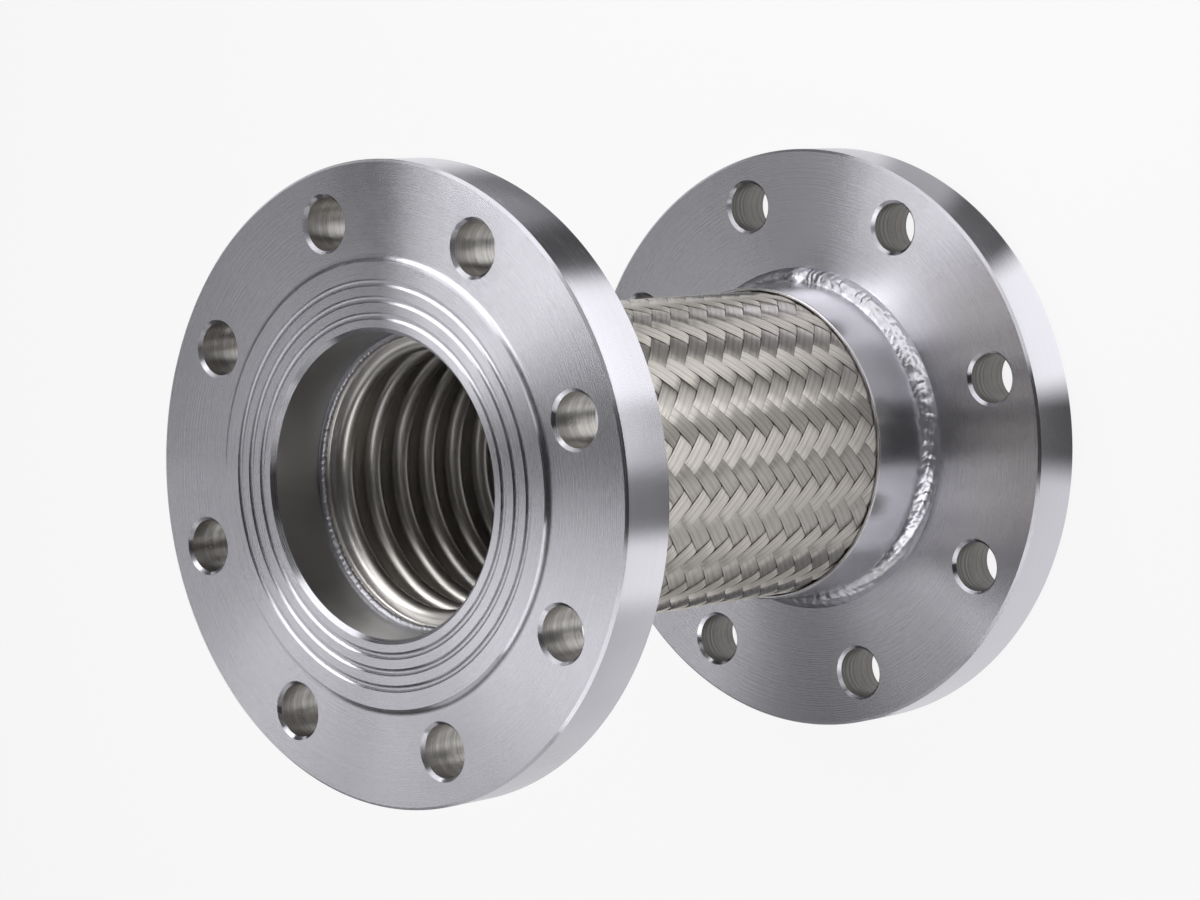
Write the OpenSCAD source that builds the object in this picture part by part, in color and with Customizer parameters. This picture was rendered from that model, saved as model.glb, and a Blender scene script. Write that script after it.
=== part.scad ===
// Metal expansion joint: a corrugated steel bellows under a woven wire braid,
// held by two ferrules that are welded to drilled raised-face flanges.
// The joint stands on its lower raised face. Z is the axis of the flow passage.
// The origin is the centre of the lower raised face. All sizes are in millimetres.

/* [Overall] */
// Distance between the two raised faces
face_to_face = 260; // [240:1:320]

/* [Flanges] */
// Outer diameter of each flange
flange_od = 228.6; // [222:0.1:250]
// Thickness of the flange rim, without the raised face
rim_t = 22.3; // [18:0.1:28]
// Diameter of the passage through the flange
bore_d = 108.2; // [107.6:0.1:110]
// Diameter of the raised gasket face
raised_face_d = 157.2; // [152:0.1:164]
// Height of the raised gasket face
raised_face_h = 1.6; // [1:0.1:3]
// Radius of the concave side of the raised face
cove_r = 2.9; // [1.8:0.1:4]
// Chamfer on the edges of the rim
rim_chamfer = 1; // [0.3:0.1:2]
// Chamfer on the edge of the bore at the raised face
bore_chamfer = 1.6; // [0.2:0.1:2.5]

/* [Bolt holes] */
// Distance from the centre of each bolt hole to the outer edge of the flange
hole_to_edge = 19.05; // [16:0.05:24]
// Number of bolt holes in each flange
bolt_count = 8; // [4:1:12]
// Diameter of each bolt hole
bolt_hole_d = 19.1; // [14:0.1:22]
// Chamfer on both edges of each bolt hole
hole_chamfer = 1.2; // [0.3:0.1:1.5]

/* [Gasket grooves] */
// Number of concentric grooves in each raised face
groove_count = 3; // [1:1:3]
// Diameter of the innermost groove
groove_first_d = 119.4; // [117:0.1:124]
// Radial distance from one groove to the next
groove_pitch = 5.8; // [4:0.1:6.2]
// Width of each groove at the surface
groove_w = 2.6; // [1.2:0.1:3]
// Depth of each groove
groove_depth = 0.55; // [0.3:0.05:0.7]

/* [Bellows] */
// Number of inward folds
root_count = 15; // [11:1:16]
// Inner diameter at the inward folds
root_id = 93; // [88:0.5:98]
// Outer diameter at the outward folds
crest_od = 114.6; // [113.6:0.1:116]
// Thickness of the bellows wall
bellows_wall = 0.6; // [0.4:0.05:0.9]
// How far the outside of the plain cuff at each end lies inside the edge of the bore
cuff_setback = 0.5; // [0.3:0.05:1]
// Distance from the back of the flange to the first inward fold
first_root = 7.1; // [6.5:0.1:9]
// Bend radius of the wall where it leaves the cuff
cuff_bend_r = 1.4; // [1.1:0.1:1.8]

/* [Braid] */
// Number of wire bands that run each way round
band_count = 36; // [24:2:38]
// Angle of the bands to the axis in degrees
braid_angle = 44; // [36:1:48]
// Radial thickness of the braid over its crowns
braid_wall = 2.1; // [1.5:0.1:2.5]
// Wall that is left under the gaps between the bands
gap_floor = 0.4; // [0.3:0.05:0.7]
// Clearance between the outward folds and the braid
braid_clearance = 0.2; // [0.15:0.05:0.4]
// Length of woven wire that shows no gap inside each ferrule lip
weave_tuck = 2; // [1:0.5:5]

/* [Ferrules] */
// Length of each ferrule from the back of the flange to its lip
ferrule_l = 29.4; // [24:0.1:40]
// Wall of the ferrule at its lip
lip_wall = 1.3; // [0.9:0.1:2.5]
// How much further the ferrule stands out at the flange than at its lip
ferrule_flare = 1.1; // [0.3:0.1:3]
// Radius on the outer edge of the lip
lip_round = 0.5; // [0.2:0.05:0.7]
// Clearance between the braid and the inside of the ferrule
ferrule_clearance = 0.2; // [0.1:0.05:0.4]
// Thickness of the plate that closes the ferrule at the flange
plate_t = 6; // [3:0.1:8]
// Clearance between the cuff and the hole in the plate
cuff_clearance = 0.1; // [0.05:0.05:0.3]

/* [Welds] */
// Leg of the outer fillet weld along the ferrule and the flange
fillet_leg = 5.5; // [4:0.1:6]
// Height of the crown of the fillet weld over its chord
fillet_crown = 0.9; // [0.3:0.1:1.2]
// Radius of the seam weld bead inside the passage
seam_r = 1.6; // [1.3:0.1:2.2]

/* [Hidden] */
$fn = 180;
// Length by which a cutting shape passes the surface that it cuts
over = 1;
full_turn = 360;

// Levels of the lower end, each measured from the lower raised face
flange_back_z = raised_face_h + rim_t;
lip_z = flange_back_z + ferrule_l;

// Radii that follow from each other, from the passage outwards
bore_r = bore_d / 2;
cuff_out_r = bore_r - cuff_setback;
cuff_in_r = cuff_out_r - bellows_wall;
cuff_mid_r = cuff_out_r - bellows_wall / 2;
plate_hole_r = cuff_out_r + cuff_clearance;
root_in_r = root_id / 2;
crest_out_r = crest_od / 2;
braid_in_r = crest_out_r + braid_clearance;
braid_out_r = braid_in_r + braid_wall;
lip_in_r = braid_out_r + ferrule_clearance;
lip_out_r = lip_in_r + lip_wall;
ferrule_out_r = lip_out_r + ferrule_flare;
bolt_circle_d = flange_od - 2 * hole_to_edge;
// Radial width of the concave side, which starts at the raised face and ends level with the rim
cove_w = sqrt(raised_face_h * (2 * cove_r - raised_face_h));

// Folds of the bellows: both kinds of fold share one bend radius at mid wall.
// Deep folds turn through a right angle on each side and have flat webs between them.
// Shallow ones turn less and run straight into each other.
first_root_z = flange_back_z + first_root;
fold_pitch = (face_to_face - 2 * first_root_z) / (root_count - 1);
fold_depth = crest_out_r - root_in_r - bellows_wall;
quarter = fold_pitch / 4;
is_deep = fold_depth >= 2 * quarter;
fold_r = is_deep ? quarter : quarter * quarter / fold_depth + fold_depth / 4;
fold_turn = is_deep ? 90 : asin(quarter / fold_r);
root_centre_r = root_in_r + fold_r + bellows_wall / 2;
crest_centre_r = crest_out_r - fold_r - bellows_wall / 2;
// Step in from the cuff to the first inward fold, and the turn of the wall on the way
cuff_step = cuff_mid_r - root_in_r - bellows_wall / 2;
cuff_turn = cuff_step >= cuff_bend_r + fold_r ? 90 : acos(1 - cuff_step / (cuff_bend_r + fold_r));
// Straight steps that make up the half turn of a fold
arc_steps = 10;

// Weave of the braid: columns of crossings round it and rows of crossings along it
weave_columns = 2 * band_count;
column_angle = full_turn / weave_columns;
weave_start_z = lip_z - weave_tuck;
weave_l = face_to_face - 2 * weave_start_z;
weave_mid_r = (braid_in_r + braid_out_r) / 2;
weave_period = 2 * PI * weave_mid_r / (band_count * tan(braid_angle));
weave_rows = 2 * round(weave_l / weave_period);
row_h = weave_l / weave_rows;
// Heights over the gap floor as shares of the relief: crossing, float, dive and side edge
weave_relief = braid_wall - gap_floor;
share_crossing = 0.9;
share_float = 1;
share_dive = 0.2;
share_side = 0.5;
// Crossings in one repeat of the pattern round the braid, two over and two under
twill_repeat = 4;
// Plain end of the braid inside the ferrule
braid_end_z = flange_back_z + plate_t + ferrule_clearance;
plain_end_r = braid_in_r + gap_floor + weave_relief / 2;

// Copies a lower piece and turns it over for the upper end
module at_upper_end() {
    translate([0, 0, face_to_face]) mirror([0, 0, 1]) children();
}

// Flanges

module flange_section() {
    difference() {
        union() {
            polygon([
                [bore_r, raised_face_h],
                [flange_od / 2 - rim_chamfer, raised_face_h],
                [flange_od / 2, raised_face_h + rim_chamfer],
                [flange_od / 2, flange_back_z - rim_chamfer],
                [flange_od / 2 - rim_chamfer, flange_back_z],
                [bore_r, flange_back_z]
            ]);
            raised_section();
        }
        for (i = [0 : groove_count - 1])
            translate([groove_first_d / 2 + i * groove_pitch, 0]) groove_section();
    }
}

// Raised face with its chamfered bore edge and concave side
module raised_section() {
    raised_r = raised_face_d / 2;
    difference() {
        polygon([
            [bore_r + bore_chamfer, 0],
            [raised_r + cove_w, 0],
            [raised_r + cove_w, raised_face_h + over],
            [bore_r, raised_face_h + over],
            [bore_r, bore_chamfer]
        ]);
        translate([raised_r + cove_w, raised_face_h - cove_r]) circle(r = cove_r);
    }
}

// Round-bottomed groove, cut by a circle whose chord is the groove's width
module groove_section() {
    cut_r = (groove_w * groove_w / 4 + groove_depth * groove_depth) / (2 * groove_depth);
    translate([0, groove_depth - cut_r]) circle(r = cut_r);
}

module bolt_hole() {
    hole_r = bolt_hole_d / 2;
    mouth_r = hole_r + hole_chamfer + over;
    translate([0, 0, -over]) cylinder(h = flange_back_z + 2 * over, r = hole_r);
    translate([0, 0, raised_face_h - over])
        cylinder(h = hole_chamfer + over, r1 = mouth_r, r2 = hole_r);
    translate([0, 0, flange_back_z - hole_chamfer])
        cylinder(h = hole_chamfer + over, r1 = hole_r, r2 = mouth_r);
}

// The bolt holes straddle the X and Y axes
module flange() {
    color("gainsboro") difference() {
        rotate_extrude() flange_section();
        for (i = [0 : bolt_count - 1])
            rotate([0, 0, (i + 0.5) * full_turn / bolt_count])
                translate([bolt_circle_d / 2, 0, 0]) bolt_hole();
    }
}

module lower_flange() { flange(); }
module upper_flange() { at_upper_end() flange(); }

// Ferrules

module ferrule_section() {
    base_z = flange_back_z + max(plate_t, fillet_leg);
    polygon([
        [plate_hole_r, flange_back_z],
        [ferrule_out_r, flange_back_z],
        [ferrule_out_r, base_z],
        [lip_out_r, lip_z - lip_round],
        [lip_out_r - lip_round, lip_z - lip_round],
        [lip_out_r - lip_round, lip_z],
        [lip_in_r, lip_z],
        [lip_in_r, flange_back_z + plate_t],
        [plate_hole_r, flange_back_z + plate_t]
    ]);
    translate([lip_out_r - lip_round, lip_z - lip_round]) circle(r = lip_round);
}

module ferrule() {
    color("silver") rotate_extrude() ferrule_section();
}

module lower_ferrule() { ferrule(); }
module upper_ferrule() { at_upper_end() ferrule(); }

// Bellows

// Points along an arc, from one angle to another
function arc(centre_r, centre_z, radius, from, to) =
    [for (k = [0 : arc_steps]) let (a = from + (to - from) * k / arc_steps)
        [centre_r + radius * cos(a), centre_z + radius * sin(a)]];

function reversed(points) = [for (i = [len(points) - 1 : -1 : 0]) points[i]];

function turned_over(points) = [for (p = reversed(points)) [p[0], face_to_face - p[1]]];

// Plain cuff and the bend that leads it into the first web.
// Side 1 is the surface away from the passage and side -1 the surface along it.
function cuff_path(side) =
    let (bend_z = first_root_z - (fold_r + cuff_bend_r) * sin(cuff_turn))
    concat([[cuff_mid_r + side * bellows_wall / 2, flange_back_z]],
        arc(cuff_mid_r - cuff_bend_r, bend_z, cuff_bend_r + side * bellows_wall / 2, 0, cuff_turn));

// Inward and outward folds in turn. The first and the last lead on to the cuffs.
function fold_path(side) =
    let (last = 2 * (root_count - 1))
    [for (i = [0 : last]) let (z = first_root_z + i * fold_pitch / 2)
        each i % 2 == 0
            ? arc(root_centre_r, z, fold_r - side * bellows_wall / 2,
                180 + (i == 0 ? cuff_turn : fold_turn), 180 - (i == last ? cuff_turn : fold_turn))
            : arc(crest_centre_r, z, fold_r + side * bellows_wall / 2, -fold_turn, fold_turn)];

function bellows_side(side) =
    concat(cuff_path(side), fold_path(side), turned_over(cuff_path(side)));

module bellows() {
    color("lightsteelblue") rotate_extrude()
        polygon(concat(bellows_side(1), reversed(bellows_side(-1))));
}

// Braid

// A band of the first set is on top at two columns of crossings, then one of the second set
function first_set_on_top(column) = column % twill_repeat < twill_repeat / 2;

// Share of the relief at a grid point: even points are crossings and odd points are gaps
function corner_share(column, row) = (column + row) % 2 == 0 ? share_crossing : 0;

// Share of the relief halfway between two crossings that touch along one band
function edge_share(column, row) =
    let (on_top_here = first_set_on_top(column),
         on_top_next = first_set_on_top(column + 1),
         along_first_set = (column + row) % 2 == 0)
    on_top_here != on_top_next ? share_dive :
    on_top_here == along_first_set ? share_float : share_side;

function weave_point(column, z, share) =
    let (r = braid_in_r + gap_floor + weave_relief * share, a = column * column_angle)
    [r * cos(a), r * sin(a), z];

function ring(r, z) =
    [for (c = [0 : weave_columns - 1]) [r * cos(c * column_angle), r * sin(c * column_angle), z]];

// Two triangles for each column between one ring of points and the next
function band_faces(lower, upper) =
    [for (c = [0 : weave_columns - 1], k = [0, 1])
        let (n = (c + 1) % weave_columns)
        k == 0 ? [lower + c, upper + c, upper + n] : [lower + c, upper + n, lower + n]];

module braid() {
    corners = [for (row = [0 : weave_rows], c = [0 : weave_columns - 1])
        weave_point(c, weave_start_z + row * row_h, corner_share(c, row))];
    middles = [for (row = [0 : weave_rows - 1], c = [0 : weave_columns - 1])
        weave_point(c + 0.5, weave_start_z + (row + 0.5) * row_h, edge_share(c, row))];
    first_middle = len(corners);
    first_ring = first_middle + len(middles);
    rings = [ring(plain_end_r, face_to_face - braid_end_z), ring(braid_in_r, face_to_face - braid_end_z),
             ring(braid_in_r, braid_end_z), ring(plain_end_r, braid_end_z)];
    ring_points = [for (points = rings, p = points) p];
    weave_faces = [for (row = [0 : weave_rows - 1], c = [0 : weave_columns - 1], side = [0 : 3])
        let (n = (c + 1) % weave_columns,
             a = row * weave_columns + c,
             b = row * weave_columns + n,
             corner = [a, a + weave_columns, b + weave_columns, b],
             middle = first_middle + row * weave_columns + c)
        [corner[side], corner[(side + 1) % 4], middle]];
    end_faces = [for (i = [0 : 2])
        each band_faces(first_ring + i * weave_columns, first_ring + (i + 1) * weave_columns)];
    color("darkgray") polyhedron(
        points = concat(corners, middles, ring_points),
        faces = concat(weave_faces,
            band_faces(weave_rows * weave_columns, first_ring),
            end_faces,
            band_faces(first_ring + 3 * weave_columns, 0)));
}

// Welds

// Convex fillet in the corner between the back of the flange and the ferrule
module fillet_section() {
    half_chord = fillet_leg * sqrt(2) / 2;
    crown_r = (half_chord * half_chord + fillet_crown * fillet_crown) / (2 * fillet_crown);
    back = (crown_r - fillet_crown) / sqrt(2);
    intersection() {
        translate([ferrule_out_r + fillet_leg / 2 - back, flange_back_z + fillet_leg / 2 - back])
            circle(r = crown_r);
        translate([ferrule_out_r, flange_back_z]) square(fillet_leg);
    }
}

module fillet_weld() {
    color("whitesmoke") rotate_extrude() fillet_section();
}

module lower_fillet_weld() { fillet_weld(); }
module upper_fillet_weld() { at_upper_end() fillet_weld(); }

// Bead inside the passage that joins the cuff to the edge of the bore
module seam_section() {
    difference() {
        translate([bore_r - seam_r / 2, flange_back_z]) circle(r = seam_r);
        translate([bore_r, flange_back_z - seam_r - over]) square([seam_r, seam_r + over]);
        translate([cuff_in_r, flange_back_z]) square([2 * seam_r, seam_r + over]);
    }
}

module seam_weld() {
    color("whitesmoke") rotate_extrude() seam_section();
}

module lower_seam_weld() { seam_weld(); }
module upper_seam_weld() { at_upper_end() seam_weld(); }

lower_flange();
upper_flange();
lower_ferrule();
upper_ferrule();
bellows();
braid();
lower_fillet_weld();
upper_fillet_weld();
lower_seam_weld();
upper_seam_weld();
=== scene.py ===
import math
import bpy
import bmesh
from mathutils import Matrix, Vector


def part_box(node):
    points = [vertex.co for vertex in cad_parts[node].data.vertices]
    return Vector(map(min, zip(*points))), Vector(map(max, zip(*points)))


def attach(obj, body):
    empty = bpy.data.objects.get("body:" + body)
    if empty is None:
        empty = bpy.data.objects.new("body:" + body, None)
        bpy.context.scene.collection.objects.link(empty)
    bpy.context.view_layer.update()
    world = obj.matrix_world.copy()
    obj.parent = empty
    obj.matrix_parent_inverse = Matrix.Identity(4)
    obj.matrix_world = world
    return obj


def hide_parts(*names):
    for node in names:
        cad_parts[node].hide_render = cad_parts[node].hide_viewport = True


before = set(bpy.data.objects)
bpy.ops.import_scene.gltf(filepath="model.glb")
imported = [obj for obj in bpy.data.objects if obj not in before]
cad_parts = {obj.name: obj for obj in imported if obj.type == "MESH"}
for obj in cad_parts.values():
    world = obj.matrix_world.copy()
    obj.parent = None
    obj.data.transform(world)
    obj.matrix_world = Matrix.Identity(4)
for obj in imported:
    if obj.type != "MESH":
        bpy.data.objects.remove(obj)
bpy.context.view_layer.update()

# metal expansion joint: bellows and wire braid between two ferrules and two flanges.
# sizes of pieces are millimetres and angles are degrees.
# looks, studio and camera are in metres, as Blender reads them
mm = 0.001
fullTurn = 2 * math.pi
mergeGap = 1e-6


def deselectAll():
    bpy.ops.object.select_all(action="DESELECT")


def takeUp(obj):
    deselectAll()
    obj.select_set(True)
    bpy.context.view_layer.objects.active = obj


def active():
    return bpy.context.view_layer.objects.active


def openEdit(obj, everything=True):
    takeUp(obj)
    bpy.ops.object.mode_set(mode="EDIT")
    bpy.ops.mesh.select_mode(type="VERT")
    bpy.ops.mesh.select_all(action="SELECT" if everything else "DESELECT")


def closeEdit():
    bpy.ops.object.mode_set(mode="OBJECT")


def selectVerts(obj, wanted):
    mesh = bmesh.from_edit_mesh(obj.data)
    for vert in mesh.verts:
        vert.select = wanted(vert)
    mesh.select_flush_mode()
    bmesh.update_edit_mesh(obj.data)


def mergeAndFace(obj):
    openEdit(obj)
    bpy.ops.mesh.remove_doubles(threshold=mergeGap)
    bpy.ops.mesh.normals_make_consistent(inside=False)
    closeEdit()


def smoothByAngle(obj, degrees):
    takeUp(obj)
    bpy.ops.object.shade_smooth_by_angle(angle=math.radians(degrees))


def applyPlace():
    bpy.ops.object.transform_apply(location=True, rotation=True, scale=True)


def ownCopy(obj, name):
    takeUp(obj)
    bpy.ops.object.duplicate(linked=False)
    twin = active()
    twin.name = name
    return twin


def turnedCopy(obj, name, turn):
    # copy with its own mesh, turned round Z
    twin = ownCopy(obj, name)
    bpy.ops.transform.rotate(value=turn, orient_axis="Z", center_override=(0, 0, 0))
    applyPlace()
    return twin


def joinAll(objs, name):
    deselectAll()
    for obj in objs:
        obj.select_set(True)
    bpy.context.view_layer.objects.active = objs[0]
    bpy.ops.object.join()
    objs[0].name = name
    return objs[0]


def spinOutline(name, outline, steps):
    # outline is (radius, height), drawn point by point, closed and then spun round Z
    deselectAll()
    bpy.ops.mesh.primitive_plane_add(size=0.01)
    obj = active()
    obj.name = name
    openEdit(obj)
    bpy.ops.mesh.merge(type="CENTER")
    at = (outline[0][0] * mm, outline[0][1] * mm)
    bpy.ops.transform.translate(value=(at[0], 0, at[1]))
    for r, z in outline[1:]:
        bpy.ops.mesh.extrude_region_move(
            TRANSFORM_OT_translate={"value": (r * mm - at[0], 0, z * mm - at[1])})
        at = (r * mm, z * mm)
    ends = (0, len(outline) - 1)
    selectVerts(obj, lambda vert: vert.index in ends)
    bpy.ops.mesh.edge_face_add()
    bpy.ops.mesh.select_all(action="SELECT")
    bpy.ops.mesh.spin(steps=steps, angle=fullTurn, center=(0, 0, 0), axis=(0, 0, 1))
    closeEdit()
    mergeAndFace(obj)
    return obj


def turnOver(obj, name):
    # upper-end twin of a lower piece
    twin = ownCopy(obj, name)
    bpy.ops.transform.resize(value=(1, 1, -1), center_override=(0, 0, height / 2 * mm))
    applyPlace()
    mergeAndFace(twin)
    return twin


def arcPoints(centreR, centreZ, radius, start, end, steps):
    turns = [math.radians(start + (end - start) * k / steps) for k in range(steps + 1)]
    return [(centreR + radius * math.cos(a), centreZ + radius * math.sin(a)) for a in turns]


def polar(co):
    # radius, height and turn of a point, in mm and radians
    return math.hypot(co.x, co.y) / mm, co.z / mm, math.atan2(co.y, co.x)


def fromPolar(r, z, turn):
    return (r * mm * math.cos(turn), r * mm * math.sin(turn), z * mm)


def seat(obj, node, slotName, *finishes):
    obj.data.materials.clear()
    for finish in finishes:
        obj.data.materials.append(finish)
    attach(obj, "root")
    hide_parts(node)


def seatBothEnds(lower, upperName, nodes, slotName, smooth, *finishes):
    smoothByAngle(lower, smooth)
    upper = turnOver(lower, upperName)
    smoothByAngle(upper, smooth)
    for obj, node in zip((lower, upper), nodes):
        seat(obj, node, slotName, *finishes)
    return lower, upper


class Wire:
    # one output of a node; arithmetic on it adds Math nodes
    def __init__(self, finish, socket):
        self.finish, self.socket = finish, socket

    def maths(self, operation, first, second=None):
        values = {i: v for i, v in enumerate((first, second)) if v is not None}
        return self.finish.node("Math", {"operation": operation}, values)

    def __add__(self, other): return self.maths("ADD", self, other)
    def __radd__(self, other): return self.maths("ADD", other, self)
    def __sub__(self, other): return self.maths("SUBTRACT", self, other)
    def __rsub__(self, other): return self.maths("SUBTRACT", other, self)
    def __mul__(self, other): return self.maths("MULTIPLY", self, other)
    def __rmul__(self, other): return self.maths("MULTIPLY", other, self)
    def __truediv__(self, other): return self.maths("DIVIDE", self, other)
    def __rtruediv__(self, other): return self.maths("DIVIDE", other, self)
    def __pow__(self, other): return self.maths("POWER", self, other)
    def __mod__(self, other): return self.maths("FLOORED_MODULO", self, other)
    def __abs__(self): return self.maths("ABSOLUTE", self)

    def floor(self): return self.maths("FLOOR", self)
    def atan2(self, other): return self.maths("ARCTAN2", self, other)

    def ramp(self, low, high, first=0.0, last=1.0):
        # soft step from first to last while the value runs from low to high
        return self.finish.node("MapRange", {"interpolation_type": "SMOOTHSTEP"},
                                {0: self, 1: low, 2: high, 3: first, 4: last})


class Finish:
    # a node material, or a world, being built
    def __init__(self, name, holder=None):
        if holder is None:
            self.material = bpy.data.materials.new(name)
            holder = self.material
        holder.use_nodes = True
        self.tree = holder.node_tree
        self.tree.nodes.clear()

    def node(self, kind, settings=None, values=None, output=0):
        made = self.tree.nodes.new("ShaderNode" + kind)
        for key, value in (settings or {}).items():
            setattr(made, key, value)
        for key, value in (values or {}).items():
            if isinstance(value, Wire):
                self.tree.links.new(value.socket, made.inputs[key])
            else:
                made.inputs[key].default_value = value
        return Wire(self, made.outputs[output]) if len(made.outputs) else None

    def coords(self, output="Object"):
        return self.node("TexCoord", output=output)

    def xyz(self, vector):
        outs = self.node("SeparateXYZ", values={0: vector}).socket.node.outputs
        return [Wire(self, out) for out in outs]

    def lines(self, along, scale, detail, rough):
        # noise that varies along one number only, as tool marks do
        return self.node("TexNoise", {"noise_dimensions": "1D"},
                         {"W": along, "Scale": scale, "Detail": detail, "Roughness": rough})

    def specks(self, vector, scale, detail, rough):
        return self.node("TexNoise", {}, {"Vector": vector, "Scale": scale, "Detail": detail,
                                          "Roughness": rough})

    def mix(self, share, first, second):
        return self.node("Mix", {"data_type": "RGBA"},
                         {"Factor": share, 6: first, 7: second}, output=2)

    def bump(self, relief, strength, distance, under=None):
        values = {"Height": relief, "Strength": strength, "Distance": distance}
        if under is not None:
            values["Normal"] = under
        return self.node("Bump", {}, values)

    def light(self, level):
        return self.node("Emission", {}, {"Color": grey(1), "Strength": level})

    def surface(self, shader):
        self.node("OutputMaterial", {}, {"Surface": shader})
        return self.material

    def metal(self, colour, roughness, normal, stretch=0.0, turn=0.0):
        return self.surface(self.node("BsdfPrincipled", {}, {
            "Base Color": colour, "Roughness": roughness, "Metallic": 1.0, "Normal": normal,
            "Anisotropic": stretch, "Anisotropic Rotation": turn}))


def grey(level, tint=(1, 1, 1)):
    return (level * tint[0], level * tint[1], level * tint[2], 1)


coolTint = (0.985, 0.975, 1.05)
drawnTint = (0.99, 0.98, 1.02)
warmTint = (1.0, 0.965, 0.925)
plainTint = (1, 1, 1)

# the tangent runs round Z, and a quarter turn stretches the shine across the tool marks
acrossMarks = 0.25

# noises are (scale, detail, roughness); tone, gloss and relief say how much each one counts;
# bump is (strength, depth)
turnedFaceLook = {
    "rings": True, "marks": {"fine": (5200, 2.0, 0.7), "broad": (700, 3.0, 0.6)},
    "cloud": (22, 4.0, 0.6), "tone": {"fine": 0.55, "broad": 0.3, "cloud": 0.25},
    "dark": 0.55, "bright": 0.70, "tint": coolTint,
    "spots": (900, 2.0, 0.5), "spotEdge": (0.66, 0.74), "spotShare": 0.35,
    "spotColour": grey(0.42, coolTint), "rough": 0.27, "gloss": {"fine": 0.06, "cloud": 0.10},
    "relief": {"fine": 0.6, "broad": 0.7}, "bump": (0.5, 0.000012), "stretch": 0.95,
}
turnedRimLook = {
    "rings": False, "marks": {"fine": (4200, 2.0, 0.7), "broad": (500, 2.0, 0.6)},
    "cloud": (30, 4.0, 0.6), "tone": {"fine": 0.6, "broad": 0.2, "cloud": 0.3},
    "dark": 0.58, "bright": 0.72, "tint": coolTint,
    "rough": 0.25, "gloss": {"fine": 0.06, "cloud": 0.10},
    "relief": {"fine": 0.7, "broad": 0.5}, "bump": (0.45, 0.000012), "stretch": 0.85,
}
boredWallLook = {
    "rings": False, "marks": {"fine": (3000, 2.0, 0.7)},
    "cloud": (35, 4.0, 0.6), "tone": {"fine": 0.5, "cloud": 0.5},
    "dark": 0.42, "bright": 0.60, "tint": plainTint, "rough": 0.32, "gloss": {"cloud": 0.16},
    "relief": {"fine": 1.0}, "bump": (0.4, 0.00002), "stretch": 0.6,
}
# ferrules: drawn tube, lightly polished, with faint heat spots
drawnSteelLook = {
    "rings": False, "marks": {"fine": (2600, 2.0, 0.6)},
    "cloud": (26, 4.0, 0.6), "tone": {"fine": 0.4, "cloud": 0.6},
    "dark": 0.60, "bright": 0.74, "tint": drawnTint,
    "spots": (60, 3.0, 0.6), "spotEdge": (0.45, 0.75), "spotShare": 0.10,
    "spotColour": grey(0.50, warmTint), "rough": 0.24, "gloss": {"fine": 0.04, "cloud": 0.12},
    "relief": {"fine": 1.0}, "bump": (0.35, 0.000012), "stretch": 0.55,
}
# bellows: thin sheet pressed into folds
formedSheetLook = {
    "rings": False, "marks": {"fine": (2000, 2.0, 0.6)},
    "cloud": (45, 4.0, 0.6), "tone": {"fine": 0.3, "cloud": 0.7},
    "dark": 0.56, "bright": 0.74, "tint": warmTint, "rough": 0.33, "gloss": {"cloud": 0.10},
    "relief": {"fine": 0.5, "cloud": 0.5}, "bump": (0.2, 0.00002), "stretch": 0.3,
}


def makeMarkedSteel(name, look):
    # tool marks run round Z: as rings on a face, as lines at one height on a wall
    f = Finish(name)
    place = f.coords()
    x, y, z = f.xyz(place)
    along = (x * x + y * y) ** 0.5 if look["rings"] else z
    layers = {mark: f.lines(along, *noise) for mark, noise in look["marks"].items()}
    layers["cloud"] = f.specks(place, *look["cloud"])
    tone = sum(layers[layer] * share for layer, share in look["tone"].items())
    colour = f.mix(tone, grey(look["dark"], look["tint"]), grey(look["bright"], look["tint"]))
    if "spots" in look:
        spots = f.specks(place, *look["spots"]).ramp(*look["spotEdge"])
        colour = f.mix(spots * look["spotShare"], colour, look["spotColour"])
    gloss = sum((layers[layer] - 0.5) * share for layer, share in look["gloss"].items())
    relief = sum(layers[layer] * share for layer, share in look["relief"].items())
    return f.metal(colour, look["rough"] + gloss, f.bump(relief, *look["bump"]),
                   look["stretch"], acrossMarks)


holeLook = {"wobble": (60, 2.0, 0.5), "wobbleReach": 0.0012, "rings": (800, 3.0, 0.75),
            "smear": (140, 3.0, 0.6), "ringShare": 0.75, "smearShare": 0.25, "edge": (0.3, 0.7),
            "dark": 0.30, "bright": 0.58, "rough": 0.30, "gloss": 0.18, "bump": (1.0, 0.00016)}


def makeDrilledHole(look):
    # feed marks of the drill run round each hole, so they vary with height
    f = Finish("drilledHole")
    place = f.coords()
    z = f.xyz(place)[2]
    wobble = f.specks(place, *look["wobble"]) * look["wobbleReach"]
    rings = f.lines(z + wobble, *look["rings"])
    smear = f.specks(place, *look["smear"])
    tone = (rings * look["ringShare"] + smear * look["smearShare"]).ramp(*look["edge"])
    colour = f.mix(tone, grey(look["dark"], warmTint), grey(look["bright"], warmTint))
    return f.metal(colour, look["rough"] + (smear - 0.5) * look["gloss"],
                   f.bump(rings, *look["bump"]))


braidTint = (1.02, 0.97, 0.91)
# tarnish comes in random spots; painted shade darkens the edges of a band (side) and painted
# shadow darkens it where it dives under the next one (low)
wireLook = {
    "streak": (1.0, 2.0, 0.5), "streakStep": 0.25, "streaksPerWire": 1.8, "cloud": (120, 3.0, 0.6),
    "shadeShare": 0.3, "streakShare": 0.7, "edge": (0.25, 0.75), "dark": 0.56, "bright": 0.80,
    "tarnish": (38, 3.0, 0.6), "tarnishEdge": (0.42, 0.72), "tarnishShare": 0.20,
    "tarnishColour": grey(0.50, (1.0, 0.95, 0.88)),
    # side and low are painted shade: dark colour near the band edges and at low radius, where a
    # band dives under the next
    "sideEdge": (0.45, 0.50), "sideShare": 0.55, "sideColour": grey(0.16, warmTint),
    "lowEdge": (0.0588, 0.0583), "lowShare": 0.80, "lowColour": grey(0.10, warmTint),
    "rough": 0.42, "cloudGloss": 0.08, "shadeGloss": 0.06, "bump": (0.1, 0.00003), "stretch": 1.0,
}


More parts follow.
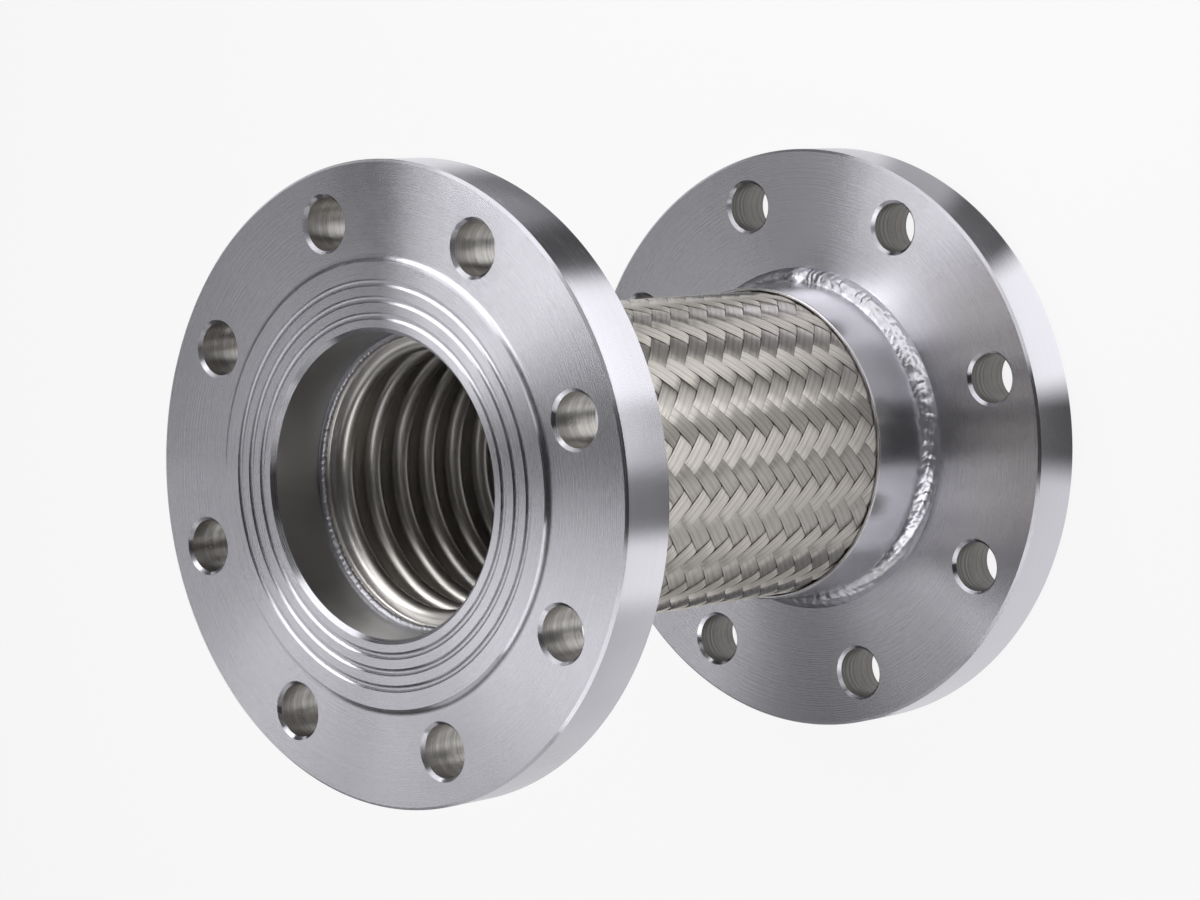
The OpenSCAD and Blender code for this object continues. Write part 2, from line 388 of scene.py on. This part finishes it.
def makeBraidWire(name, look, band, lean):
    # u runs along a band and v round its section; each wire has its own shade.
    # wires lean to one side of the axis, so their shine is stretched across them
    f = Finish(name)
    place = f.coords()
    u, v = f.xyz(f.coords("UV"))[:2]
    across = v * band["sectionShare"]
    wire = (across * band["wires"]).floor()
    shade = f.node("TexWhiteNoise", {"noise_dimensions": "1D"}, {"W": wire})
    runs = f.node("CombineXYZ", {}, {"X": u * band["stations"] * look["streakStep"],
                                     "Y": across * band["wires"] * look["streaksPerWire"]})
    streak = f.specks(runs, *look["streak"])
    cloud = f.specks(place, *look["cloud"])
    tone = (shade * look["shadeShare"] + streak * look["streakShare"]).ramp(*look["edge"])
    colour = f.mix(tone, grey(look["dark"], braidTint), grey(look["bright"], braidTint))
    x, y = f.xyz(place)[:2]
    # tarnish is random spotting; side and low paint shade and shadow into the colour
    tarnishAndShade = {"tarnish": f.specks(place, *look["tarnish"]), "side": abs(across - 0.5),
             "low": (x * x + y * y) ** 0.5}
    for kind, amount in tarnishAndShade.items():
        tarnishAndShadeShare = amount.ramp(*look[kind + "Edge"]) * look[kind + "Share"]
        colour = f.mix(tarnishAndShadeShare, colour, look[kind + "Colour"])
    rough = look["rough"] + (cloud - 0.5) * look["cloudGloss"] + (shade - 0.5) * look["shadeGloss"]
    return f.metal(colour, rough, f.bump(cloud, *look["bump"]), look["stretch"],
                   acrossMarks + lean / 360)


weldLook = {"fine": (700, 3.0, 0.6), "cloud": (110, 3.0, 0.6), "lumps": (300, 2.0, 0.5),
            "darker": 0.12, "lighter": 0.06, "gloss": 0.2,
            "stain": (45, 3.0, 0.6), "stainEdge": (0.5, 0.7), "stainShare": 0.3,
            "stainDarker": 0.25, "stainTint": (1.0, 0.96, 0.9),
            "fineShare": 0.4, "fineBump": (0.5, 0.00018), "lumpBump": (0.6, 0.0005)}


def makeWeldMetal(name, look, level, rough, strength):
    f = Finish(name)
    place = f.coords()
    cloud = f.specks(place, *look["cloud"])
    stain = f.specks(place, *look["stain"]).ramp(*look["stainEdge"])
    colour = f.mix(cloud, grey(level - look["darker"], coolTint),
                   grey(level + look["lighter"], coolTint))
    colour = f.mix(stain * look["stainShare"], colour,
                   grey(level - look["stainDarker"], look["stainTint"]))
    grain = f.specks(place, *look["fine"]) * look["fineShare"] + cloud
    normal = None
    for relief, (share, depth) in ((grain, look["fineBump"]),
                                   (f.specks(place, *look["lumps"]), look["lumpBump"])):
        normal = f.bump(relief, share * strength, depth, normal)
    return f.metal(colour, rough + (cloud - 0.5) * look["gloss"], normal)


# heights and radii read off the CAD frame
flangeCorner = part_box("lower_flange")[1]
height = round(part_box("upper_flange")[1][2] / mm, 3)
backZ = round(flangeCorner[2] / mm, 3)
rimRadius = round(flangeCorner[0] / mm, 3)
lipZ = round(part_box("lower_ferrule")[1][2] / mm, 3)
print("levels", height, backZ, rimRadius, lipZ)

# loops are edges added beside a corner, so that the smooth shading stays flat there
flangeSizes = {
    "bore": 54.1, "boreChamfer": 1.6, "raisedFace": 78.6, "raisedHeight": 1.6, "coveRadius": 2.9,
    "rimChamfer": 1.0, "grooves": (59.7, 65.5, 71.3), "grooveWidth": 2.6, "grooveDepth": 0.55,
    "holeCircle": 95.25, "hole": 9.55, "holeChamfer": 1.2, "holes": 8, "holeSides": 72,
    "cutterReach": 1.0, "boreLoop": 8, "grooveLoop": 0.25, "coveLoop": 0.4, "backLoop": 6,
    "grooveSteps": 8, "coveSteps": 9, "steps": 360, "smooth": 28,
    "wallSlope": 0.3, "sideSlope": 0.9, "rimReach": 0.2, "boreReach": 0.1,
}


def flangeOutline(s):
    halfGroove = s["grooveWidth"] / 2
    cutR = (halfGroove ** 2 + s["grooveDepth"] ** 2) / (2 * s["grooveDepth"])
    spread = math.degrees(math.asin(halfGroove / cutR))
    front = s["raisedHeight"]
    points = [(s["bore"], front + s["boreLoop"]), (s["bore"], s["boreChamfer"]),
              (s["bore"] + s["boreChamfer"], 0)]
    for r in s["grooves"]:
        points.append((r - halfGroove - s["grooveLoop"], 0))
        points += arcPoints(r, s["grooveDepth"] - cutR, cutR, 90 + spread, 90 - spread,
                            s["grooveSteps"])
        points.append((r + halfGroove + s["grooveLoop"], 0))
    cove = s["coveRadius"]
    coveWidth = math.sqrt(front * (2 * cove - front))
    start = math.degrees(math.atan2(cove - front, -coveWidth))
    points.append((s["raisedFace"] - s["coveLoop"], 0))
    points += arcPoints(s["raisedFace"] + coveWidth, front - cove, cove, start, 90, s["coveSteps"])
    points += [(s["raisedFace"] + coveWidth + s["coveLoop"], front),
               (rimRadius - s["rimChamfer"], front), (rimRadius, front + s["rimChamfer"]),
               (rimRadius, backZ - s["rimChamfer"]), (rimRadius - s["rimChamfer"], backZ),
               (s["bore"] + s["backLoop"], backZ), (s["bore"], backZ)]
    return points


def holeTurns(s):
    return [(i + 0.5) * fullTurn / s["holes"] for i in range(s["holes"])]


def boltHoleCutter(s):
    # spool: straight hole with a cone at each mouth
    low, high = s["raisedHeight"] + s["holeChamfer"], backZ - s["holeChamfer"]
    deselectAll()
    bpy.ops.mesh.primitive_cylinder_add(
        vertices=s["holeSides"], radius=s["hole"] * mm, depth=(high - low) * mm,
        location=(0, 0, (low + high) / 2 * mm))
    cutter = active()
    applyPlace()
    reach = s["holeChamfer"] + s["cutterReach"]
    grow = (s["hole"] + reach) / s["hole"]
    for end, way in ((high, 1), (low, -1)):
        openEdit(cutter, everything=False)
        bpy.ops.mesh.select_mode(type="FACE")
        mesh = bmesh.from_edit_mesh(cutter.data)
        for face in mesh.faces:
            face.select = face.normal.z * way > s["sideSlope"]
        bmesh.update_edit_mesh(cutter.data)
        bpy.ops.mesh.extrude_region_move(
            TRANSFORM_OT_translate={"value": (0, 0, way * reach * mm)})
        bpy.ops.transform.resize(value=(grow, grow, 1), center_override=(0, 0, end * mm))
        closeEdit()
    openEdit(cutter)
    bpy.ops.transform.translate(value=(s["holeCircle"] * mm, 0, 0))
    closeEdit()
    cutters = [turnedCopy(cutter, f"cutter{i}", turn) for i, turn in enumerate(holeTurns(s))]
    bpy.data.objects.remove(cutter)
    return joinAll(cutters, "boltHoleCutters")


def flangeFinish(s, face):
    # place in the list of finishes: face, rim, bolt hole, bore
    x, y, z = (c / mm for c in face.center)
    slope = abs(face.normal.z)
    fromHole = min(math.hypot(x - s["holeCircle"] * math.cos(a), y - s["holeCircle"] * math.sin(a))
                   for a in holeTurns(s))
    if slope < s["sideSlope"] and fromHole < s["hole"] + s["holeChamfer"]:
        return 2 if slope < s["wallSlope"] else 0
    if math.hypot(x, y) > rimRadius - s["rimReach"]:
        return 1
    return 3 if math.hypot(x, y) < s["bore"] + s["boreReach"] else 0


def makeFlanges(s, *finishes):
    lower = spinOutline("lowerFlange", flangeOutline(s), s["steps"])
    cutters = boltHoleCutter(s)
    takeUp(lower)
    drill = lower.modifiers.new("boltHoles", "BOOLEAN")
    drill.operation, drill.solver, drill.object = "DIFFERENCE", "EXACT", cutters
    bpy.ops.object.modifier_apply(modifier=drill.name)
    bpy.data.objects.remove(cutters)
    for flange in seatBothEnds(lower, "upperFlange", ("lower_flange", "upper_flange"),
                               "flange_steel", s["smooth"], *finishes):
        for face in flange.data.polygons:
            face.material_index = flangeFinish(s, face)


print("flanges")
makeFlanges(flangeSizes, makeMarkedSteel("turnedFace", turnedFaceLook),
            makeMarkedSteel("turnedRim", turnedRimLook), makeDrilledHole(holeLook),
            makeMarkedSteel("boredWall", boredWallLook))


ferruleSizes = {"plateHole": 53.7, "plate": 6.0, "outer": 62.2, "lipOuter": 61.1, "lipInner": 59.8,
                "round": 0.5, "roundSteps": 5, "innerRound": 0.25, "innerSteps": 3,
                "steps": 288, "smooth": 35}


def makeFerrules(s, finish):
    top = backZ + s["plate"]
    outline = [(s["plateHole"], backZ), (s["outer"], backZ), (s["outer"], top)]
    outline += arcPoints(s["lipOuter"] - s["round"], lipZ - s["round"], s["round"],
                         0, 90, s["roundSteps"])
    outline += arcPoints(s["lipInner"] + s["innerRound"], lipZ - s["innerRound"], s["innerRound"],
                         90, 180, s["innerSteps"])
    outline += [(s["lipInner"], top), (s["plateHole"], top)]
    lower = spinOutline("lowerFerrule", outline, s["steps"])
    seatBothEnds(lower, "upperFerrule", ("lower_ferrule", "upper_ferrule"),
                 "ferrule_steel", s["smooth"], finish)


print("ferrules")
makeFerrules(ferruleSizes, makeMarkedSteel("drawnSteel", drawnSteelLook))


bellowsSizes = {"roots": 15, "rootIn": 46.5, "crestOut": 57.3, "wall": 0.6, "cuffIn": 53.0,
                "firstRoot": 7.1, "cuffBend": 1.4, "cuffSteps": 5, "arcSteps": 8,
                "steps": 144, "smooth": 50}


def bellowsOutline(s):
    firstZ = backZ + s["firstRoot"]
    pitch = (height - 2 * firstZ) / (s["roots"] - 1)
    bend, half = pitch / 4, s["wall"] / 2
    rootC, crestC = s["rootIn"] + bend + half, s["crestOut"] - bend - half
    cuffMid = s["cuffIn"] + half
    bendZ = firstZ - bend - s["cuffBend"]

    def side(way):
        # outer side of the wall for way 1, inner side for way -1
        cuff = [(cuffMid + way * half, backZ)]
        cuff += arcPoints(cuffMid - s["cuffBend"], bendZ, s["cuffBend"] + way * half,
                          0, 90, s["cuffSteps"])
        folds = []
        for i in range(2 * s["roots"] - 1):
            z = firstZ + i * pitch / 2
            if i % 2 == 0:
                folds += arcPoints(rootC, z, bend - way * half, 270, 90, s["arcSteps"])
            else:
                folds += arcPoints(crestC, z, bend + way * half, -90, 90, s["arcSteps"])
        return cuff + folds + [(r, height - z) for r, z in reversed(cuff)]
    return side(1) + side(-1)[::-1]


def makeBellows(s, finish):
    bellows = spinOutline("bellows", bellowsOutline(s), s["steps"])
    smoothByAngle(bellows, s["smooth"])
    seat(bellows, "bellows", "bellows_steel", finish)


print("bellows")
makeBellows(bellowsSizes, makeMarkedSteel("formedSheet", formedSheetLook))


# rows and columns count the crossings along Z and round it; turn shifts the weave by columns.
# sectionShare is all points of a section over those on its crown, where the wires are
braidSizes = {
    "bands": 36, "firstRow": -4.07, "lastRow": 32.93, "rowHeight": 5.24667, "startZ": 54.3,
    "turn": 2, "middle": 58.55, "lift": 0.46, "steep": 2.8, "thick": 0.80, "width": 7.1,
    "wires": 10, "valley": 0.03, "edgeDrop": 0.16, "edgePower": 6, "flatInset": 0.2,
    "lean": 45.8, "stations": 148, "sectionShare": 23 / 20, "smooth": 60,
}


def bandSection(s):
    # closed outline of a band: crowned wires on top, flat below; across and up
    count = 2 * s["wires"]
    top = []
    for k in range(count + 1):
        across = k / count * 2 - 1
        up = s["thick"] / 2 - s["edgeDrop"] * across ** s["edgePower"]
        up -= s["valley"] if k % 2 == 0 else 0
        top.append((across * s["width"] / 2, up))
    low, flat = -s["thick"] / 2, s["width"] / 2 - s["flatInset"]
    return top + [(flat, low), (-flat, low), top[0]]


def makeBand(s, name, way, shift):
    section = bandSection(s)
    sides = len(section) - 1
    columnAngle = fullTurn / (2 * s["bands"])
    deselectAll()
    bpy.ops.mesh.primitive_grid_add(x_subdivisions=s["stations"], y_subdivisions=sides,
                                    size=2, calc_uvs=True)
    band = active()
    band.name = name
    run = s["middle"] * columnAngle
    slope = math.hypot(run, s["rowHeight"])
    alongTurn, alongZ = run / slope, s["rowHeight"] / slope
    for vert in band.data.vertices:
        row = s["firstRow"] + (vert.co.x + 1) / 2 * (s["lastRow"] - s["firstRow"])
        across, up = section[round((vert.co.y + 1) / 2 * sides)]
        column = shift + way * row
        # on top where the column of the crossing is 0 or 1 of 4 for one set, 2 or 3 for the other
        phase = (column - (0.5 if way > 0 else 2.5)) * math.pi / 2
        rise = math.tanh(s["steep"] * math.cos(phase)) / math.tanh(s["steep"])
        turn = (column + s["turn"]) * columnAngle + way * across * alongZ / s["middle"]
        vert.co = fromPolar(s["middle"] + s["lift"] * rise + up,
                            s["startZ"] + row * s["rowHeight"] - across * alongTurn, turn)
    openEdit(band)
    bpy.ops.mesh.remove_doubles(threshold=mergeGap)
    bpy.ops.mesh.select_all(action="DESELECT")
    bpy.ops.mesh.select_non_manifold()
    bpy.ops.mesh.fill_holes(sides=0)
    closeEdit()
    mergeAndFace(band)
    smoothByAngle(band, s["smooth"])
    return band


def makeBraid(s):
    copies = s["bands"] // 2
    for way, side in ((1, "Right"), (-1, "Left")):
        finish = makeBraidWire("braidWire" + side, wireLook, s, way * s["lean"])
        for shift, part in ((0, "A"), (2, "B")):
            band = makeBand(s, "band", way, shift)
            bands = [turnedCopy(band, f"band{k}", k * fullTurn / copies) for k in range(1, copies)]
            piece = joinAll([band] + bands, "braid" + side + part)
            seat(piece, "braid", "braid_wire", finish)


print("braid")
makeBraid(braidSizes)


# waves are (times round, start, tilt, height), and tilt makes a wave lean across the bead.
# lumps are (turn, half width, height)
filletSizes = {
    "outer": 62.2, "leg": 5.5, "crown": 0.9, "sections": 14, "steps": 1080, "smooth": 50,
    "corner": 0.1, "ripples": 92, "rippleDepth": 0.62, "rippleBow": 0.9, "rippleWander": 0.55,
    "sawShare": 0.45, "ridgeShare": 0.55, "sideDrop": 0.7, "boldSide": 20, "calmShare": 0.7,
    "boldBase": 0.75, "boldWaves": ((13, 2, 0, 0.45), (5, 0, 0, 1.0)),
    "wander": ((7, 0, 0, 1.0), (17, 1, 0, 0.8), (29, 0, 1, 0.5)), "sag": 0.16, "sagWander": 0.5,
    "grain": ((53, 0, 3, 0.14), (31, 1, -4, 1.0)),
    "lumps": ((6, 3.6, 1.6), (-30, 3, 0.35), (-58, 2.5, -0.3), (-128, 6, 0.2)),
}


def waveHeights(waves, turn, lean):
    return [tall * math.sin(times * turn + start + tilt * lean)
            for times, start, tilt, tall in waves]


def beadDrop(s, turn, lean):
    # how far the bead lies below a plain fillet; lean runs from -1 on the flange to 1
    middle = 1 - lean * lean
    wander = sum(waveHeights(s["wander"], turn, lean))
    ripple = turn / fullTurn * s["ripples"] - s["rippleBow"] * middle + s["rippleWander"] * wander
    saw = ripple % 1.0
    calm = 0.5 - 0.5 * math.cos(turn - math.radians(s["boldSide"]))
    bold = s["boldBase"] + math.prod(waveHeights(s["boldWaves"], turn, lean))
    notch = s["sawShare"] * (1 - saw) ** 2
    notch += s["ridgeShare"] * (1 - math.sin(math.pi * saw) ** 0.5)
    drop = s["rippleDepth"] * (1 - s["calmShare"] * calm) * bold * notch
    drop *= 1 - lean * lean * s["sideDrop"]
    drop += s["sag"] * (1 + s["sagWander"] * wander) * middle
    drop += math.prod(waveHeights(s["grain"], turn, lean)) * middle
    for at, wide, tall in s["lumps"]:
        off = (math.degrees(turn) - at + 180) % 360 - 180
        drop -= tall * math.exp(-(off / wide) ** 2) * middle
    return drop


def makeFilletWelds(s, finish):
    half = s["leg"] * math.sqrt(2) / 2
    crownR = (half ** 2 + s["crown"] ** 2) / (2 * s["crown"])
    back = (crownR - s["crown"]) / math.sqrt(2)
    centreR, centreZ = s["outer"] + s["leg"] / 2 - back, backZ + s["leg"] / 2 - back
    spread = math.degrees(math.asin(half / crownR))
    outline = [(s["outer"], backZ)]
    outline += arcPoints(centreR, centreZ, crownR, 45 - spread, 45 + spread, s["sections"])
    lower = spinOutline("lowerFilletWeld", outline, s["steps"])
    for vert in lower.data.vertices:
        r, z, turn = polar(vert.co)
        fromCorner = math.hypot(r - s["outer"], z - backZ)
        if fromCorner < s["corner"]:
            continue
        lean = math.atan2(z - backZ, r - s["outer"]) / (math.pi / 2) * 2 - 1
        scale = 1 - beadDrop(s, turn, lean) / fromCorner
        vert.co = fromPolar(s["outer"] + (r - s["outer"]) * scale, backZ + (z - backZ) * scale,
                            turn)
    seatBothEnds(lower, "upperFilletWeld", ("lower_fillet_weld", "upper_fillet_weld"),
                 "weld_metal", s["smooth"], finish)


seamSizes = {"radius": 1.6, "centre": 53.3, "bore": 54.1, "cuff": 53.0, "boreFoot": 1.2,
             "cuffFoot": 0.4, "footArc": (-60, -90, 2), "beadArc": (270, 100, 10),
             "moved": 52.9, "out": 0.2, "lump": 0.16, "lumpWaves": (83, 31), "swing": (2, 9),
             "fine": 0.1, "fineWave": 151, "steps": 720, "smooth": 60}


def makeSeamWelds(s, finish):
    # bead on the passage side of the corner between bore and cuff
    outline = [(s["bore"], backZ - s["boreFoot"])]
    for arc in (s["footArc"], s["beadArc"]):
        outline += arcPoints(s["centre"], backZ, s["radius"], *arc)
    outline += [(s["cuff"], backZ + s["cuffFoot"]), (s["cuff"], backZ), (s["bore"], backZ)]
    lower = spinOutline("lowerSeamWeld", outline, s["steps"])
    reach, times = s["swing"]
    for vert in lower.data.vertices:
        r, z, turn = polar(vert.co)
        if r > s["moved"]:
            continue
        swing = reach * math.sin(times * turn)
        lump = math.sin(s["lumpWaves"][0] * turn + swing) * math.sin(s["lumpWaves"][1] * turn)
        fine = math.sin(s["fineWave"] * turn + z)
        vert.co = fromPolar(r + s["out"] + s["lump"] * lump + s["fine"] * fine, z, turn)
    seatBothEnds(lower, "upperSeamWeld", ("lower_seam_weld", "upper_seam_weld"),
                 "weld_metal", s["smooth"], finish)


print("welds")
makeFilletWelds(filletSizes, makeWeldMetal("filletWeldMetal", weldLook, 0.68, 0.31, 1.0))
makeSeamWelds(seamSizes, makeWeldMetal("seamWeldMetal", weldLook, 0.54, 0.42, 0.45))


# cards hang on a dome round the joint: azimuth, half width, elevation, half height, level.
# floor cards are patches of floor that only metal sees: azimuth, half width, radius,
# half radius, level. foot cards lie close round the lower rim: azimuth, half width, level
studio = {
    "floorSize": 6.0, "floorCuts": 3, "floorShade": 0.86, "floorGrain": (6, 2.0, 0.5),
    "grainStep": 0.04, "floorRough": 0.55, "floorShine": 0.2, "whiteShare": 0.88,
    "horizon": 0.70, "sky": 0.03, "horizonRise": (0.0, 0.06), "floorEnd": (1.15, 1.25),
    "under": 0.35, "underEdge": (0.112, 0.114), "footLevel": 0.12, "footEdge": (0.138, 0.155),
    "soft": 4.0, "softRadius": 0.03, "dome": 0.70, "domeCentre": 0.15, "cardCell": 4,
    "cards": {
        "topLow": (342, 45, 9, 9, 1.58), "topStrip": (350, 50, 27, 9, 1.00),
        "topHigh": (13, 26, 45, 9, 2.10), "topCrown": (20, 20, 63, 9, 0.85),
        "leftLow": (216, 27, 9, 9, 0.42), "leftStrip": (230, 30, 27, 9, 2.39),
        "leftHigh": (231, 13, 45, 9, 0.50), "backPanel": (80, 20, 40.5, 4.5, 0.58),
        "backLow": (115, 15, 27, 9, 0.88), "keyLow": (50, 10, 49.5, 4.5, 4.76),
        "keyFoot": (45, 5, 40.5, 4.5, 5.76), "keySide": (80, 10, 67.5, 4.5, 2.71),
        "highLow": (115, 15, 49.5, 4.5, 1.24), "highSide": (150, 20, 63, 9, 0.87),
        "backLeft": (180, 18, 18, 18, 0.74)},
    "floorCards": {
        "side": (70, 30, 0.26, 0.14, 0.90), "right": (310, 30, 0.17, 0.05, 0.62),
        "rightFar": (320, 20, 0.31, 0.09, 0.97), "front": (240, 40, 0.17, 0.05, 0.50),
        "frontLeft": (250, 10, 0.31, 0.09, 1.38), "leftFar": (190, 50, 0.31, 0.09, 0.92),
        "frontReach": (260, 20, 0.80, 0.40, 0.60), "topReach": (40, 40, 0.80, 0.40, 1.15),
        "rightReach": (310, 30, 0.80, 0.40, 2.50)},
    "footCards": {
        "front": (234, 37, 0.78), "right": (302, 14.5, 1.24),
        "rightTop": (15, 40, 0.40), "top": (35, 42, 0.40)},
}
# azimuth, elevation, distance, size up and across, level
lamps = {"keySoftbox": (55, 63, 0.70, (0.22, 0.166), 4.66),
         "highSoftbox": (120, 63, 0.70, (0.22, 0.111), 1.58)}


def domePlace(s, azimuth, elevation, distance):
    turn, rise = math.radians(azimuth), math.radians(elevation)
    flat = distance * math.cos(rise)
    return (flat * math.cos(turn), flat * math.sin(turn),
            s["domeCentre"] + distance * math.sin(rise))


def makeFloor(s):
    deselectAll()
    bpy.ops.mesh.primitive_plane_add(size=s["floorSize"], location=(0, 0, 0))
    floor = active()
    floor.name = "floor"
    openEdit(floor)
    bpy.ops.mesh.subdivide(number_cuts=s["floorCuts"])
    closeEdit()
    f = Finish("paleFloor")
    place = f.coords()
    x, y = f.xyz(place)[:2]
    azimuth, radius = y.atan2(x) * math.degrees(1), (x * x + y * y) ** 0.5

    def arc(turn, halfTurn, level):
        off = abs((azimuth - turn + 180) % 360 - 180)
        return off.ramp(halfTurn - s["soft"], halfTurn + s["soft"], level, 0)

    def ring(middle, half):
        return abs(radius - middle).ramp(half - s["softRadius"], half + s["softRadius"], 1, 0)
    mirrored = radius.ramp(*s["floorEnd"], s["sky"], s["horizon"])
    for turn, halfTurn, middle, half, level in s["floorCards"].values():
        mirrored = mirrored + arc(turn, halfTurn, level) * ring(middle, half)
    foot = s["footLevel"]
    for card in s["footCards"].values():
        foot = arc(*card) + foot
    mirrored = mirrored + radius.ramp(*s["footEdge"], 1, 0) * (foot - mirrored)
    mirrored = mirrored + radius.ramp(*s["underEdge"], 1, 0) * (s["under"] - mirrored)
    colour = f.mix(f.specks(place, *s["floorGrain"]), grey(s["floorShade"]),
                   grey(s["floorShade"] + s["grainStep"]))
    paint = f.node("BsdfPrincipled", {}, {"Base Color": colour, "Roughness": s["floorRough"],
                                          "Specular IOR Level": s["floorShine"]})
    byCamera = f.node("LightPath", output="Is Camera Ray")
    byGloss = f.node("LightPath", output="Is Glossy Ray")
    shown = f.node("MixShader", {}, {0: byCamera * s["whiteShare"], 1: paint, 2: f.light(1.0)})
    f.surface(f.node("MixShader", {}, {0: byGloss, 1: shown, 2: f.light(mirrored)}))
    floor.data.materials.append(f.material)


def makeWorld(s):
    world = bpy.data.worlds.new("studioWorld")
    bpy.context.scene.world = world
    w = Finish("studioWorld", world)
    rise = w.xyz(w.coords("Generated"))[2]
    level = rise.ramp(*s["horizonRise"], s["horizon"], s["sky"])
    byCamera = w.node("LightPath", output="Is Camera Ray")
    backdrop = w.node("Background", {}, {"Color": grey(1),
                                         "Strength": byCamera + (1 - byCamera) * level})
    w.node("OutputWorld", {}, {"Surface": backdrop})


def makeCard(s, name, azimuth, halfTurn, elevation, halfRise, level):
    deselectAll()
    bpy.ops.mesh.primitive_grid_add(x_subdivisions=max(2, round(halfTurn / s["cardCell"])),
                                    y_subdivisions=s["cardCell"], size=2)
    card = active()
    card.name = name
    for vert in card.data.vertices:
        vert.co = domePlace(s, azimuth + vert.co.x * halfTurn, elevation + vert.co.y * halfRise,
                            s["dome"])
    f = Finish(name)
    card.data.materials.append(f.surface(f.light(level)))
    card.visible_camera = False
    card.visible_shadow = False


def addLamp(s, name, azimuth, elevation, distance, size, level):
    turn, rise = math.radians(azimuth), math.radians(elevation)
    deselectAll()
    bpy.ops.object.light_add(type="AREA", location=domePlace(s, azimuth, elevation, distance),
                             rotation=(0, math.pi / 2 - rise, turn))
    lamp = active()
    lamp.name = name
    lamp.data.shape = "RECTANGLE"
    lamp.data.size, lamp.data.size_y = size
    # a card of the same level and size is as bright
    lamp.data.energy = level * math.pi * size[0] * size[1]


print("studio")
makeFloor(studio)
makeWorld(studio)
for name, setup in studio["cards"].items():
    makeCard(studio, name, *setup)
for name, setup in lamps.items():
    addLamp(studio, name, *setup)


# the camera is rolled, so that the joint lies in the picture as it does in the photograph
cameraSetup = {"place": (0.22272, -0.91406, 1.18212), "turn": (-5.686, 41.860, -85.048),
               "lens": 112.8, "sensor": 36, "near": 0.05, "far": 30}

deselectAll()
bpy.ops.object.camera_add(location=cameraSetup["place"],
                          rotation=[math.radians(a) for a in cameraSetup["turn"]])
camera = active()
camera.data.lens = cameraSetup["lens"]
camera.data.sensor_width = cameraSetup["sensor"]
camera.data.clip_start, camera.data.clip_end = cameraSetup["near"], cameraSetup["far"]
bpy.context.scene.camera = camera
bpy.context.scene.view_settings.view_transform = "Standard"
